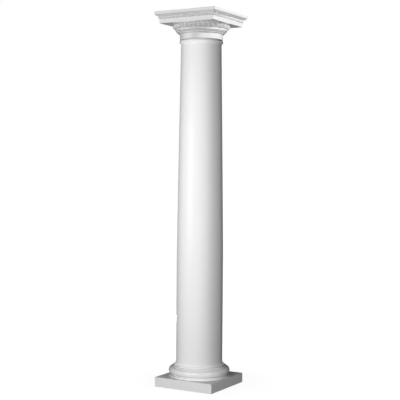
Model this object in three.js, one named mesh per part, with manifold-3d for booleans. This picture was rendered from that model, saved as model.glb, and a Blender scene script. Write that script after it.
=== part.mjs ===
// A white round column, twelve inches across and eight feet tall, millimetres, +Z up.
// It stands on the origin, with the sides of its square plinth and abacus along X and Y.
// From the floor up: a square plinth, a round base moulding, a hollow tapered shaft made
// of two half shells, and a capital with carved rows of eggs, beads and leaves.

import * as THREE from 'three';
import { mergeVertices } from 'three/addons/utils/BufferGeometryUtils.js';
import Module from 'manifold-3d';

const wasm = await Module();
wasm.setup();

// General sizes.
const roundSides = 48;
const squareSides = 4;
const seatGap = 0.3;
const shellGap = 0.3;
const cutMargin = 5;
const joinOverlap = 1;

// Shaft.
const shaftDiameter = 304.8;
const neckDiameter = 265;
const shaftHeight = 2126.1;
const straightHeight = 730;
const wallThickness = 30;
const entasisPower = 1.1;
const taperSteps = 5;

// Cincture and apophyge at the foot of the shaft.
const cinctureRadius = 165;
const cinctureHeight = 12;
const footApophygeHeight = 15;
const footApophygeReach = 8;
const footApophygeSteps = 3;

// Apophyge, fillet and astragal at the top of the shaft.
const astragalRadius = 143.5;
const astragalHeight = 14;
const astragalUndercut = -60;
const astragalSteps = 4;
const neckFilletRadius = 138.5;
const neckFilletHeight = 4;
const topApophygeHeight = 11;
const topApophygeReach = 5;
const topApophygeSteps = 2;

// Plinth.
const plinthSide = 424;
const plinthHeight = 62;

// Base moulding: a flat lip, a torus and a fillet.
const lipRadius = 194;
const lipHeight = 8.5;
const lipGrooveRadius = 181;
const lipGrooveHeight = 5.5;
const torusRadius = 201;
const torusHeight = 48;
const torusShoulder = 177;
const torusUndercut = -70;
const torusSteps = 7;
const baseFilletRadius = 178;
const baseFilletHeight = 6;

// Round part of the capital, from its foot up.
const footRecessRadius = 134;
const footRecessHeight = 6;
const neckingRadius = 140.5;
const neckingHeight = 29;
const coveRadius = 148.5;
const coveHeight = 11;
const coveSteps = 2;
const lowerFilletRadius = 151.5;
const lowerFilletHeight = 6.5;
const upperFilletRadius = 168;
const upperFilletHeight = 10;

// Row of beads between the two fillets.
const beadCount = 64;
const beadRowHeight = 9;
const beadCrownRadius = 163;
const beadGapRadius = 157.5;
const beadEdgeRadius = 155.5;
const beadCoreRadius = 153;

// Echinus with its row of eggs and darts.
const echinusHeight = 34;
const echinusFootRadius = 163;
const echinusTopRadius = 184.5;
const echinusRimRadius = 196.5;
const echinusRimHeight = 4;
const eggCount = 36;
const eggLength = 41;
const eggWidth = 21;
const eggDepth = 16;
const eggTaper = 0.25;
const eggSides = 6;
const eggRings = 3;
const eggCentreRadius = 173;
const eggCentreHeight = 17;
const dartLength = 38;
const dartWidth = 8;
const dartSides = 4;

// Square abacus: fascia, leaf row, quirk, cyma and top fillet.
const fasciaSide = 398;
const fasciaHeight = 27;
const leafRowHeight = 16;
const leafRowFootSide = 408;
const leafRowTopSide = 422;
const leavesPerSide = 20;
const leafDepth = 3.5;
const quirkSide = 398;
const quirkHeight = 5;
const cymaFootSide = 427;
const cymaTopSide = 444;
const cymaHeight = 9.5;
const cymaSteps = 4;
const topFilletSide = 448;
const topFilletHeight = 18;

// Places that follow from the sizes.
const shaftRadius = shaftDiameter / 2;
const neckRadius = neckDiameter / 2;
const footBore = shaftRadius - wallThickness;
const neckBore = neckRadius - wallThickness;
const baseFoot = plinthHeight + seatGap;
const baseHeight = lipHeight + lipGrooveHeight + torusHeight + baseFilletHeight;
const shaftFoot = baseFoot + baseHeight + seatGap;
const capitalFoot = shaftFoot + shaftHeight + seatGap;
const necking = capitalFoot + footRecessHeight;
const cove = necking + neckingHeight;
const lowerFillet = cove + coveHeight;
const beadRow = lowerFillet + lowerFilletHeight;
const upperFillet = beadRow + beadRowHeight;
const echinus = upperFillet + upperFilletHeight;
const abacusFoot = echinus + echinusHeight;
const leafRow = abacusFoot + fasciaHeight;
const quirk = leafRow + leafRowHeight;
const cyma = quirk + quirkHeight;
const topFillet = cyma + cymaHeight;
const columnTop = topFillet + topFilletHeight;

// A closed solid from a geometry, with only its positions kept and its vertices shared.
function solidOf(geometry) {
  const plain = geometry.clone();
  plain.deleteAttribute('normal');
  plain.deleteAttribute('uv');
  const merged = mergeVertices(plain);
  const vertProperties = new Float32Array(merged.attributes.position.array);
  const triVerts = new Uint32Array(merged.index.array);
  const mesh = new wasm.Mesh({ numProp: 3, vertProperties, triVerts });
  mesh.merge();
  return new wasm.Manifold(mesh);
}

// A geometry with the triangles of a solid.
function geometryOf(solid) {
  const { vertProperties, triVerts } = solid.getMesh();
  const geometry = new THREE.BufferGeometry();
  geometry.setAttribute('position', new THREE.BufferAttribute(vertProperties, 3));
  geometry.setIndex(new THREE.BufferAttribute(triVerts, 1));
  geometry.computeVertexNormals();
  return geometry;
}

// Points on a quarter or half of an ellipse in the plane of radius and height.
function arc(centreRadius, centreHeight, reach, rise, fromDegrees, toDegrees, steps) {
  const points = [];
  for (let i = 0; i <= steps; i += 1) {
    const angle = THREE.MathUtils.degToRad(fromDegrees + ((toDegrees - fromDegrees) * i) / steps);
    const radius = centreRadius + reach * Math.cos(angle);
    const height = centreHeight + rise * Math.sin(angle);
    points.push(new THREE.Vector2(radius, height));
  }
  return points;
}

// A point of a profile, by radius and height.
function at(radius, height) {
  return new THREE.Vector2(radius, height);
}

// A solid turned about +Z. The profile closes on itself, up outside and down inside.
function turned(profile, sides = roundSides) {
  const geometry = new THREE.LatheGeometry([...profile, profile[0]], sides);
  geometry.rotateX(Math.PI / 2);
  return solidOf(geometry);
}

// A square moulding with mitred corners: the profile gives half of each side.
function squared(profile) {
  const corners = profile.map((point) => at(point.x * Math.SQRT2, point.y));
  const geometry = new THREE.LatheGeometry(corners, squareSides);
  geometry.rotateX(Math.PI / 2);
  geometry.rotateZ(Math.PI / squareSides);
  return solidOf(geometry);
}

// A round rod for a bore, running past both faces that it cuts.
function bore(radius, foot, top) {
  const length = top - foot + 2 * cutMargin;
  const geometry = new THREE.CylinderGeometry(radius, radius, length, roundSides);
  geometry.rotateX(Math.PI / 2);
  geometry.translate(0, 0, (foot + top) / 2);
  return solidOf(geometry);
}

// Radius of the shaft at a height above its foot: straight below, then tapered.
function shaftRadiusAt(height) {
  const taperHeight = shaftHeight - straightHeight - neckMouldingHeight();
  const share = Math.min(Math.max((height - straightHeight) / taperHeight, 0), 1);
  return shaftRadius - (shaftRadius - neckRadius) * share ** entasisPower;
}

// Height of the mouldings at the top of the shaft.
function neckMouldingHeight() {
  return topApophygeHeight + neckFilletHeight + astragalHeight;
}

// Outer profile of the shaft, from its foot up.
function shaftOutside() {
  const apophygeFoot = shaftFoot + cinctureHeight;
  const apophygeTop = apophygeFoot + footApophygeHeight;
  const taperFoot = straightHeight;
  const taperTop = shaftHeight - neckMouldingHeight();
  const points = [at(cinctureRadius, shaftFoot), at(cinctureRadius, apophygeFoot)];
  const footCentre = shaftRadius + footApophygeReach;
  const footArc = arc(
    footCentre,
    apophygeTop,
    footApophygeReach,
    footApophygeHeight,
    270,
    180,
    footApophygeSteps,
  );
  points.push(...footArc);
  for (let i = 0; i <= taperSteps; i += 1) {
    const height = taperFoot + ((taperTop - taperFoot) * i) / taperSteps;
    points.push(at(shaftRadiusAt(height), shaftFoot + height));
  }
  const filletFoot = shaftFoot + taperTop + topApophygeHeight;
  const astragalFoot = filletFoot + neckFilletHeight;
  const neckCentre = neckRadius + topApophygeReach;
  const neckArc = arc(
    neckCentre,
    shaftFoot + taperTop,
    topApophygeReach,
    topApophygeHeight,
    180,
    90,
    topApophygeSteps,
  );
  points.push(...neckArc.slice(1));
  points.push(at(neckFilletRadius, filletFoot), at(neckFilletRadius, astragalFoot));
  const astragalReach = astragalRadius - neckFilletRadius;
  const astragalCentre = astragalFoot + astragalHeight / 2;
  const bulge = arc(
    neckFilletRadius,
    astragalCentre,
    astragalReach,
    astragalHeight / 2,
    astragalUndercut,
    90,
    astragalSteps,
  );
  points.push(...bulge);
  return points;
}

// Inner profile of the shaft, from its top down, one wall inside the outer one.
function shaftInside() {
  const taperTop = shaftHeight - neckMouldingHeight();
  return [
    at(neckBore, shaftFoot + shaftHeight),
    at(neckBore, shaftFoot + taperTop),
    at(footBore, shaftFoot + straightHeight),
    at(footBore, shaftFoot),
  ];
}

// One half shell of the shaft, on the side of -Y or +Y that the sign gives.
function shaftHalf(sign) {
  const whole = turned([...shaftOutside(), ...shaftInside()]);
  const reach = cinctureRadius + cutMargin;
  const height = shaftHeight + 2 * cutMargin;
  const half = new THREE.BoxGeometry(2 * reach, reach, height);
  half.translate(0, sign * (reach / 2 + shellGap / 2), shaftFoot + shaftHeight / 2);
  return geometryOf(whole.intersect(solidOf(half)));
}

// The square plinth with its round bore.
function plinth() {
  const box = new THREE.BoxGeometry(plinthSide, plinthSide, plinthHeight);
  box.translate(0, 0, plinthHeight / 2);
  return geometryOf(solidOf(box).subtract(bore(footBore, 0, plinthHeight)));
}

// The round base moulding with its bore.
function baseMoulding() {
  const grooveFoot = baseFoot + lipHeight;
  const torusFoot = grooveFoot + lipGrooveHeight;
  const filletFoot = torusFoot + torusHeight;
  const torusReach = torusRadius - torusShoulder;
  const torusCentre = torusFoot + torusHeight / 2;
  const torus = arc(
    torusShoulder,
    torusCentre,
    torusReach,
    torusHeight / 2,
    torusUndercut,
    90,
    torusSteps,
  );
  const profile = [
    at(lipRadius, baseFoot),
    at(lipRadius, grooveFoot),
    at(lipGrooveRadius, grooveFoot),
    at(lipGrooveRadius, torusFoot),
    ...torus,
    at(baseFilletRadius, filletFoot),
    at(baseFilletRadius, filletFoot + baseFilletHeight),
    at(footBore, filletFoot + baseFilletHeight),
    at(footBore, baseFoot),
  ];
  return geometryOf(turned(profile));
}

// Round core of the capital, from its foot to just inside the abacus.
function capitalCore() {
  const rimFoot = abacusFoot - echinusRimHeight;
  const coveReach = coveRadius - neckingRadius;
  const profile = [
    at(footRecessRadius, capitalFoot),
    at(footRecessRadius, necking),
    at(neckingRadius, necking),
    ...arc(coveRadius, cove, coveReach, coveHeight, 180, 90, coveSteps),
    at(lowerFilletRadius, lowerFillet),
    at(lowerFilletRadius, beadRow),
    at(beadCoreRadius, beadRow),
    at(beadCoreRadius, upperFillet),
    at(upperFilletRadius, upperFillet),
    at(upperFilletRadius, echinus),
    at(echinusFootRadius, echinus),
    at(echinusTopRadius, rimFoot),
    at(echinusRimRadius, rimFoot),
    at(echinusRimRadius, abacusFoot + joinOverlap),
    at(neckBore, abacusFoot + joinOverlap),
    at(neckBore, capitalFoot),
  ];
  return turned(profile);
}

// The row of beads: a ring whose middle swells at each bead and sinks between two.
function beadRing() {
  const foot = beadRow;
  const top = upperFillet;
  const inner = beadCoreRadius - joinOverlap;
  const profile = [
    at(beadEdgeRadius, foot),
    at(beadGapRadius, (foot + top) / 2),
    at(beadEdgeRadius, top),
    at(inner, top),
    at(inner, foot),
  ];
  const columns = 2 * beadCount;
  const geometry = new THREE.LatheGeometry([...profile, profile[0]], columns);
  const position = geometry.attributes.position;
  const rows = profile.length + 1;
  for (let column = 0; column <= columns; column += 2) {
    const crown = column * rows + 1;
    const stretch = beadCrownRadius / beadGapRadius;
    position.setX(crown, position.getX(crown) * stretch);
    position.setZ(crown, position.getZ(crown) * stretch);
  }
  geometry.rotateX(Math.PI / 2);
  return solidOf(geometry);
}

// Places one carved form on the slope of the echinus and turns it to its angle.
function onEchinus(geometry, angle) {
  const slope = Math.atan2(echinusTopRadius - echinusFootRadius, echinusHeight);
  geometry.rotateY(slope);
  geometry.translate(eggCentreRadius, 0, echinus + eggCentreHeight);
  geometry.rotateZ(angle);
  return solidOf(geometry);
}

// One egg: a sphere drawn out along the slope and narrower at its lower end.
function egg(angle) {
  const geometry = new THREE.SphereGeometry(1, eggSides, eggRings);
  geometry.rotateX(Math.PI / 2);
  const position = geometry.attributes.position;
  for (let i = 0; i < position.count; i += 1) {
    const height = position.getZ(i);
    const width = 1 + eggTaper * height;
    const x = (position.getX(i) * width * eggDepth) / 2;
    const y = (position.getY(i) * width * eggWidth) / 2;
    position.setXYZ(i, x, y, (height * eggLength) / 2);
  }
  return onEchinus(geometry, angle);
}

// One dart: a slim pyramid with its point down, between two eggs.
function dart(angle) {
  const geometry = new THREE.ConeGeometry(dartWidth / 2, dartLength, dartSides);
  geometry.rotateX(-Math.PI / 2);
  return onEchinus(geometry, angle);
}

// The row of eggs and darts as a list of solids.
function eggRow() {
  const solids = [];
  const pitch = (2 * Math.PI) / eggCount;
  for (let i = 0; i < eggCount; i += 1) {
    solids.push(egg((i + 0.5) * pitch));
    solids.push(dart(i * pitch));
  }
  return solids;
}

// The leaf row of the abacus: an extruded square with a ridge for each leaf, drawn in below.
function leafBand() {
  const outline = [];
  const half = leafRowTopSide / 2 - leafDepth;
  const pitch = (2 * half) / leavesPerSide;
  for (let side = 0; side < squareSides; side += 1) {
    const turn = (2 * Math.PI * side) / squareSides;
    for (let i = 0; i < 2 * leavesPerSide; i += 1) {
      const along = -half + (i * pitch) / 2;
      const out = i % 2 === 0 ? half : half + leafDepth;
      outline.push(new THREE.Vector2(along, -out).rotateAround(new THREE.Vector2(), turn));
    }
  }
  const shape = new THREE.Shape(outline);
  const geometry = new THREE.ExtrudeGeometry(shape, { depth: leafRowHeight, bevelEnabled: false });
  const position = geometry.attributes.position;
  const draw = leafRowFootSide / leafRowTopSide;
  for (let i = 0; i < position.count; i += 1) {
    if (position.getZ(i) < leafRowHeight / 2) {
      position.setX(i, position.getX(i) * draw);
      position.setY(i, position.getY(i) * draw);
    }
  }
  geometry.translate(0, 0, leafRow);
  return solidOf(geometry);
}

// The square abacus with its mitred mouldings.
function abacus() {
  const cymaCurve = [];
  const foot = cymaFootSide / 2;
  const reach = (cymaTopSide - cymaFootSide) / 2;
  for (let i = 0; i <= cymaSteps; i += 1) {
    const share = i / cymaSteps;
    const ease = share - Math.sin(2 * Math.PI * share) / (2 * Math.PI);
    cymaCurve.push(at(foot + reach * ease, cyma + cymaHeight * share));
  }
  const profile = [
    at(0, abacusFoot),
    at(fasciaSide / 2, abacusFoot),
    at(fasciaSide / 2, quirk - joinOverlap),
    at(quirkSide / 2, quirk - joinOverlap),
    at(quirkSide / 2, cyma),
    ...cymaCurve,
    at(topFilletSide / 2, topFillet),
    at(topFilletSide / 2, columnTop),
    at(0, columnTop),
  ];
  return squared(profile);
}

// The whole capital: round core, carved rows and abacus joined, then bored through.
function capital() {
  let solid = capitalCore().add(beadRing());
  for (const carved of eggRow()) {
    solid = solid.add(carved);
  }
  solid = solid.add(abacus()).add(leafBand());
  return geometryOf(solid.subtract(bore(neckBore, capitalFoot, columnTop)));
}

// White paint, with the plinth a little less glossy than the moulded pieces.
function whitePaint(roughness) {
  return new THREE.MeshStandardMaterial({ color: 0xf2f2f0, roughness, metalness: 0 });
}

// A named piece of the column.
function piece(name, geometry, roughness) {
  const mesh = new THREE.Mesh(geometry, whitePaint(roughness));
  mesh.name = name;
  return mesh;
}

const mouldedRoughness = 0.35;
const plinthRoughness = 0.5;

const group = new THREE.Group();
group.add(piece('plinth', plinth(), plinthRoughness));
group.add(piece('base_moulding', baseMoulding(), mouldedRoughness));
group.add(piece('shaft_front_half', shaftHalf(-1), mouldedRoughness));
group.add(piece('shaft_back_half', shaftHalf(1), mouldedRoughness));
group.add(piece('capital', capital(), mouldedRoughness));

export default group;
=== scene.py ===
"""Looks of the white round column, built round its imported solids.

The column has a square plinth, a round base moulding, a hollow tapered shaft in two half
shells and a capital with carved rows of eggs and darts, beads and reels, and leaves. Each
piece takes its place and its outer size from the solid that it replaces, and its finer
profile from the named sizes of its class. All lengths are in metres.
"""

from __future__ import annotations

import logging
import math
from abc import ABC, abstractmethod
from collections.abc import Sequence
from dataclasses import dataclass
from enum import Enum

import bmesh
import bpy
from mathutils import Matrix, Vector


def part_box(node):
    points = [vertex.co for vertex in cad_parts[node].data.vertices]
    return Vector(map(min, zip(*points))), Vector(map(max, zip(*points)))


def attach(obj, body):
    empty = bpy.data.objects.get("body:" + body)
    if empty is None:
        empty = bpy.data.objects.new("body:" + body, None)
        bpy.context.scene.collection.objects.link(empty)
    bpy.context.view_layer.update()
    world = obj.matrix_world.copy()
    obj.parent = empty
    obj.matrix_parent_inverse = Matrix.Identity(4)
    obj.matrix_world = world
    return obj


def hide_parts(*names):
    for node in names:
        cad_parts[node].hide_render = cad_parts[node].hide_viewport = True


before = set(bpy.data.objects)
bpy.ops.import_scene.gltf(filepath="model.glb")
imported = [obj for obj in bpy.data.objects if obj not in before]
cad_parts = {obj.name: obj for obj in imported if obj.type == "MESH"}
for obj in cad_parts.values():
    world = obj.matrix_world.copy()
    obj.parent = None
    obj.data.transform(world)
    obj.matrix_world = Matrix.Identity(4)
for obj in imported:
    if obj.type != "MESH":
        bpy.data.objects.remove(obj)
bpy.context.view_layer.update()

LOG = logging.getLogger("column")
BODY = "root"
MM = 0.001
WELD = 0.00002
EASE_STEPS = 3
SUPPORT_SHARE = 0.25
LONGEST_EASE_SHARE = 0.4
SHARP_ANGLE = math.radians(50)
MOTTLE_RANGE = (0.35, 0.7)
GRAIN_STRETCH = (6.0, 6.0, 90.0)
GRAIN_SCALE = 4.0
NARROWEST_LEAF = 0.01

Section = list[tuple[float, float]]
InputValue = float | int | bool | bpy.types.Material


class Finish(Enum):
    """The record's material slots."""

    PLINTH = "plinth_paint"
    MOULDING = "moulding_paint"
    SHAFT = "shaft_paint"


class Shell(Enum):
    """The two half shells of the shaft, each with the angle at which it starts."""

    FRONT = ("shaft_front_half", math.pi)
    BACK = ("shaft_back_half", 0.0)

    @property
    def node(self) -> str:
        """Name of the solid that the half shell stands for."""
        return self.value[0]

    @property
    def start(self) -> float:
        """Angle of the half shell's first edge about the axis, in radians."""
        return self.value[1]


class Outline:
    """A closed outline that is turned or squared about the column's axis.

    A point holds a round radius, half of a square's side and a height. Its distance from
    the axis is the sum of the first two, so a flat face may run from a square to a circle.
    The points go up the outside and down the inside.
    """

    def __init__(self) -> None:
        """Start an empty outline."""
        self._corners: list[tuple[Vector, float]] = []

    def round(self, radius: float, height: float, ease: float = 0.0) -> Outline:
        """Add a point of a round moulding.

        Args:
            radius: distance from the axis.
            height: height above the floor.
            ease: how far from the corner its rounding starts, or 0 to keep it sharp.

        Returns:
            The outline itself.
        """
        self._corners.append((Vector((radius, 0.0, height)), ease))
        return self

    def square(self, half: float, height: float, ease: float = 0.0) -> Outline:
        """Add a point of a square moulding.

        Args:
            half: half of the square's side.
            height: height above the floor.
            ease: how far from the corner its rounding starts, or 0 to keep it sharp.

        Returns:
            The outline itself.
        """
        self._corners.append((Vector((0.0, half, height)), ease))
        return self

    def arc(
        self,
        centre: tuple[float, float],
        reach: float,
        rise: float,
        sweep: tuple[float, float],
        steps: int,
    ) -> Outline:
        """Add a stretch of an ellipse on a round moulding.

        Args:
            centre: radius and height of the ellipse's centre.
            reach: half of the ellipse across.
            rise: half of the ellipse up.
            sweep: first and last angle, in degrees from outwards towards up.
            steps: number of edges.

        Returns:
            The outline itself.
        """
        for step in range(steps + 1):
            angle = math.radians(sweep[0] + (sweep[1] - sweep[0]) * step / steps)
            radius = centre[0] + reach * math.cos(angle)
            self.round(radius, centre[1] + rise * math.sin(angle))
        return self

    def points(self) -> list[Vector]:
        """Give the outline's points, with a small rounding in place of each eased corner.

        Returns:
            The points in order.
        """
        points: list[Vector] = []
        count = len(self._corners)
        for index, (corner, ease) in enumerate(self._corners):
            if ease == 0.0:
                points.append(corner)
                continue
            before = self._corners[index - 1][0] - corner
            after = self._corners[(index + 1) % count][0] - corner
            shortest = min(before.length, after.length)
            cut = min(ease, shortest * LONGEST_EASE_SHARE)
            held = cut * (1.0 + SUPPORT_SHARE)
            before.normalize()
            after.normalize()
            points.append(corner + before * held)
            for step in range(EASE_STEPS + 1):
                share = step / EASE_STEPS
                bend = before * (1.0 - share) ** 2 + after * share**2
                points.append(corner + bend * cut)
            points.append(corner + after * held)
        return points

    def mesh(self, name: str) -> bpy.types.Mesh:
        """Give the outline as one flat face whose vertices are its points in order.

        Args:
            name: name of the new mesh.

        Returns:
            The mesh.
        """
        points = self.points()
        mesh = bpy.data.meshes.new(name)
        mesh.from_pydata(points, [], [range(len(points))])
        return mesh


class Nodes:
    """A tree to which nodes are added by naming them and the links between them."""

    def __init__(self, group: bpy.types.NodeTree) -> None:
        """Take up a tree that is already there."""
        self.group = group

    def node(self, kind: str, sockets: dict | None = None, **settings: object) -> bpy.types.Node:
        """Add a node.

        Args:
            kind: Blender's type of node.
            sockets: for each input, by name or number, its value or the output to link.
            settings: properties of the node.

        Returns:
            The node.
        """
        node = self.group.nodes.new(kind)
        for key, setting in settings.items():
            setattr(node, key, setting)
        for key, value in (sockets or {}).items():
            self.feed(node.inputs[key], value)
        return node

    def feed(self, socket: bpy.types.NodeSocket, value: object) -> None:
        """Link an output to a socket, or set its value.

        Args:
            socket: the input.
            value: an output of another node, or a plain value.
        """
        if isinstance(value, bpy.types.NodeSocket):
            self.group.links.new(value, socket)
        else:
            socket.default_value = value

    def math(self, operation: str, *values: object) -> bpy.types.NodeSocket:
        """Add a sum on one to three numbers.

        Args:
            operation: Blender's name of the sum.
            values: numbers or outputs.

        Returns:
            The result.
        """
        sockets = dict(enumerate(values))
        return self.node("ShaderNodeMath", sockets, operation=operation).outputs[0]


class Tree(Nodes):
    """A node group with named inputs and outputs."""

    def __init__(self, name: str, kind: str) -> None:
        """Start an empty group.

        Args:
            name: name of the group.
            kind: Blender's type of tree.
        """
        super().__init__(bpy.data.node_groups.new(name, kind))
        self.inputs = self.group.nodes.new("NodeGroupInput").outputs
        self.outputs = self.group.nodes.new("NodeGroupOutput").inputs

    def sockets(self, kinds: dict[str, str], into: bool = True) -> None:
        """Add named inputs or outputs to the group.

        Args:
            kinds: type of each socket, such as Float, by its name.
            into: True for inputs, False for outputs.
        """
        side = "INPUT" if into else "OUTPUT"
        for name, kind in kinds.items():
            self.group.interface.new_socket(name, in_out=side, socket_type=f"NodeSocket{kind}")


class Maker:
    """A geometry node tree that makes a plain mesh from a source mesh."""

    def __init__(self, name: str) -> None:
        """Start the tree with its geometry sockets.

        Args:
            name: name of the tree.
        """
        self.tree = Tree(name, "GeometryNodeTree")
        self.tree.sockets({"Geometry": "Geometry"})
        self.tree.sockets({"Geometry": "Geometry"}, into=False)

    def close(self, geometry: bpy.types.NodeSocket) -> None:
        """End the tree: real geometry, welded, smooth and with its material.

        Args:
            geometry: what the tree has made.
        """
        tree = self.tree
        tree.sockets({"Material": "Material"})
        real = tree.node("GeometryNodeRealizeInstances", {"Geometry": geometry})
        welded = tree.node(
            "GeometryNodeMergeByDistance", {"Geometry": real.outputs[0], "Distance": WELD}
        )
        smooth = tree.node("GeometryNodeSetShadeSmooth", {"Geometry": welded.outputs[0]})
        sockets = {"Geometry": smooth.outputs[0], "Material": tree.inputs["Material"]}
        painted = tree.node("GeometryNodeSetMaterial", sockets)
        tree.feed(tree.outputs["Geometry"], painted.outputs[0])

    def run(self, source: bpy.types.Mesh, inputs: dict[str, InputValue]) -> bpy.types.Mesh:
        """Run the tree on a mesh and keep the result as a plain mesh.

        Args:
            source: the mesh that goes in.
            inputs: values by the names of inputs. Names that the tree lacks are passed over.

        Returns:
            The mesh that comes out.
        """
        carrier = bpy.data.objects.new(source.name, source)
        bpy.context.scene.collection.objects.link(carrier)
        modifier = carrier.modifiers.new("make", "NODES")
        modifier.node_group = self.tree.group
        for item in self.tree.group.interface.items_tree:
            if item.in_out == "INPUT" and item.name in inputs:
                modifier[item.identifier] = inputs[item.name]
        graph = bpy.context.evaluated_depsgraph_get()
        made = bpy.data.meshes.new_from_object(carrier.evaluated_get(graph), depsgraph=graph)
        bpy.data.objects.remove(carrier)
        bpy.data.meshes.remove(source)
        return made


class Turner(Maker):
    """Turns an outline about the axis, its square points along a square."""

    def __init__(self) -> None:
        """Build the tree."""
        super().__init__("turned_outline")
        tree = self.tree
        tree.sockets({"Points": "Int", "Segments": "Int", "Capped": "Bool"})
        tree.sockets({"Start": "Float", "Sweep": "Float"})
        given = tree.inputs
        columns = tree.math("ADD", given["Segments"], 1.0)
        rows = tree.math("ADD", given["Points"], 1.0)
        sizes = {"Size X": 1.0, "Size Y": 1.0, "Vertices X": columns, "Vertices Y": rows}
        grid = tree.node("GeometryNodeMeshGrid", sizes)
        place = tree.node("GeometryNodeInputPosition").outputs[0]
        flat = tree.node("ShaderNodeSeparateXYZ", {0: place}).outputs
        across = tree.math("ADD", flat["X"], 0.5)
        up = tree.math("ADD", flat["Y"], 0.5)
        row = tree.math("ROUND", tree.math("MULTIPLY", up, given["Points"]))
        wrapped = tree.math("MODULO", row, given["Points"])
        sampled = tree.node(
            "GeometryNodeSampleIndex",
            {"Geometry": given["Geometry"], "Value": place, "Index": wrapped},
            data_type="FLOAT_VECTOR",
        )
        point = tree.node("ShaderNodeSeparateXYZ", {0: sampled.outputs[0]}).outputs
        angle = tree.math("MULTIPLY_ADD", across, given["Sweep"], given["Start"])
        cosine = tree.math("COSINE", angle)
        sine = tree.math("SINE", angle)
        longer = tree.math("MAXIMUM", tree.math("ABSOLUTE", cosine), tree.math("ABSOLUTE", sine))
        squared = tree.math("DIVIDE", point["Y"], longer)
        radius = tree.math("ADD", point["X"], squared)
        turned = tree.node(
            "ShaderNodeCombineXYZ",
            {
                "X": tree.math("MULTIPLY", radius, cosine),
                "Y": tree.math("MULTIPLY", radius, sine),
                "Z": point["Z"],
            },
        )
        sockets = {"Geometry": grid.outputs[0], "Position": turned.outputs[0]}
        wall = tree.node("GeometryNodeSetPosition", sockets).outputs[0]
        first = self._cap(given["Start"])
        last = self._cap(tree.math("ADD", given["Start"], given["Sweep"]))
        flipped = tree.node("GeometryNodeFlipFaces", {"Mesh": last}).outputs[0]
        caps = tree.node("GeometryNodeJoinGeometry")
        tree.feed(caps.inputs[0], first)
        tree.feed(caps.inputs[0], flipped)
        sockets = {"Switch": given["Capped"], "True": caps.outputs[0]}
        chosen = tree.node("GeometryNodeSwitch", sockets, input_type="GEOMETRY")
        whole = tree.node("GeometryNodeJoinGeometry")
        tree.feed(whole.inputs[0], wall)
        tree.feed(whole.inputs[0], chosen.outputs[0])
        self.close(whole.outputs[0])

    def _cap(self, angle: bpy.types.NodeSocket) -> bpy.types.NodeSocket:
        """Place the outline's own face at an angle about the axis.

        Args:
            angle: the angle.

        Returns:
            The turned face.
        """
        tree = self.tree
        turn = tree.node("ShaderNodeCombineXYZ", {"Z": angle}).outputs[0]
        sockets = {"Geometry": tree.inputs["Geometry"], "Rotation": turn}
        return tree.node("GeometryNodeTransform", sockets).outputs[0]

    def turn(
        self,
        outline: Outline,
        segments: int,
        paint: bpy.types.Material,
        start: float = 0.0,
        sweep: float = math.tau,
    ) -> bpy.types.Mesh:
        """Turn an outline into a closed solid.

        Args:
            outline: the outline, up outside and down inside.
            segments: number of steps round the axis.
            paint: material of the result.
            start: angle of the first section.
            sweep: angle turned through. Less than a full turn is capped at both ends.

        Returns:
            The mesh, with its corners marked sharp.
        """
        source = outline.mesh("outline")
        inputs: dict[str, InputValue] = {
            "Points": len(source.vertices),
            "Segments": segments,
            "Start": start,
            "Sweep": sweep,
            "Capped": sweep < math.tau,
            "Material": paint,
        }
        mesh = self.run(source, inputs)
        mesh.set_sharp_from_angle(angle=SHARP_ANGLE)
        return mesh


class RowMaker(Maker):
    """A maker that repeats a carved cell until the cells close to a row."""

    def lay(self, cell: bpy.types.Mesh, count: int, paint: bpy.types.Material) -> bpy.types.Mesh:
        """Lay a cell in a closed row.

        Args:
            cell: the carved cell.
            count: number of cells round the axis, or along one side of the square.
            paint: material of the result.

        Returns:
            The closed row.
        """
        inputs = {"Copies": count, "Phase": math.pi / count, "Material": paint}
        return self.run(cell, inputs)


class RingRow(RowMaker):
    """Repeats a carved cell round the axis until the cells close to a ring."""

    def __init__(self) -> None:
        """Build the tree."""
        super().__init__("carved_ring")
        tree = self.tree
        tree.sockets({"Copies": "Int", "Phase": "Float"})
        given = tree.inputs
        spots = tree.node("GeometryNodePoints", {"Count": given["Copies"]})
        index = tree.node("GeometryNodeInputIndex").outputs[0]
        step = tree.math("DIVIDE", math.tau, given["Copies"])
        angle = tree.math("MULTIPLY_ADD", index, step, given["Phase"])
        turn = tree.node("ShaderNodeCombineXYZ", {"Z": angle}).outputs[0]
        copies = tree.node(
            "GeometryNodeInstanceOnPoints",
            {"Points": spots.outputs[0], "Instance": given["Geometry"], "Rotation": turn},
        )
        self.close(copies.outputs[0])


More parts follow.
